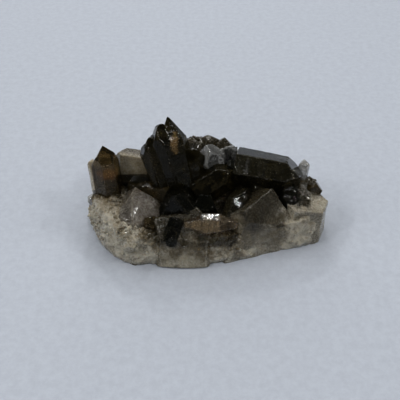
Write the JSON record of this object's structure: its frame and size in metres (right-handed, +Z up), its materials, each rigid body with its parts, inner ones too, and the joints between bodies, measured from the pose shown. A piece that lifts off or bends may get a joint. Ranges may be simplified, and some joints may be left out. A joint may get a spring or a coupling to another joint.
{
  "type": "smoky quartz cluster",
  "caption": "Natural mineral specimen: a milky quartz mass that bristles with dark smoky, brown, milky and clear pointed crystals, resting on its broken flat underside.",
  "frame": {"origin": "middle of the cluster's box, on the flat underside that it rests on", "axes": "+X along the cluster's length, +Z up from the underside, -Y the open side that shows the crystals and the milky front wall"},
  "size_m": [0.1212, 0.0668, 0.0575],
  "materials": {
    "base_quartz": "satin",
    "milky_quartz": "satin",
    "brown_quartz": "gloss",
    "smoky_quartz": "gloss",
    "clear_quartz": "gloss"
  },
  "bodies": {
    "root": {"quartz_base": "base_quartz", "tall_crystal": "smoky_quartz", "tall_side_crystal": "smoky_quartz", "tall_low_crystal": "smoky_quartz", "tall_outer_crystal": "smoky_quartz", "olive_column": "smoky_quartz", "lying_crystal": "smoky_quartz", "under_block": "smoky_quartz", "centre_crystal": "smoky_quartz", "facing_block": "smoky_quartz", "hollow_crystal": "smoky_quartz", "grey_slab": "smoky_quartz", "hollow_right_crystal": "smoky_quartz", "dark_wedge": "smoky_quartz", "front_right_crystal": "milky_quartz", "right_block": "milky_quartz", "front_centre_crystal": "brown_quartz", "lens_crystal": "brown_quartz", "small_front_crystal": "smoky_quartz", "front_left_pocket_crystal": "brown_quartz", "left_crystal": "brown_quartz", "left_sliver": "milky_quartz", "left_knob": "clear_quartz", "pale_pyramid": "milky_quartz", "fan_crystal": "brown_quartz", "slate_blade": "smoky_quartz", "pale_slab": "milky_quartz", "rim_knob": "milky_quartz", "clear_crystal": "clear_quartz", "left_plate": "clear_quartz", "right_plate": "clear_quartz", "ridge_left_crystal": "milky_quartz", "ridge_middle_crystal": "brown_quartz", "ridge_right_crystal": "brown_quartz", "ridge_end_crystal": "smoky_quartz", "back_knob": "milky_quartz", "pocket_crystal": "brown_quartz", "pocket_side_crystal": "brown_quartz"}
  },
  "joints": []
}
